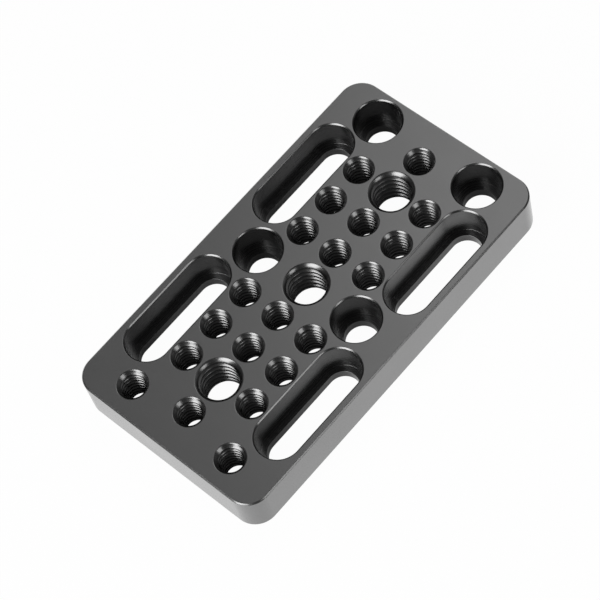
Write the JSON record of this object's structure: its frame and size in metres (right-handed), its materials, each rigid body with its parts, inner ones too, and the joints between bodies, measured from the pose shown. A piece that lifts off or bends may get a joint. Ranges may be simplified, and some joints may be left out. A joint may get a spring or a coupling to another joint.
{
  "type": "cheese plate",
  "caption": "Flat black mounting plate with round corners, a grid of tapped holes, stepped slots along both sides and pockets for cap screws.",
  "frame": {"origin": "middle of the underside", "axes": "+X along the plate, towards the end that has screw pockets; +Y across it; +Z out of the face that the pockets open to"},
  "size_m": [0.09, 0.0494, 0.01],
  "materials": {
    "black_anodised": "satin black anodised"
  },
  "bodies": {
    "root": {"plate": "black_anodised"}
  },
  "joints": []
}
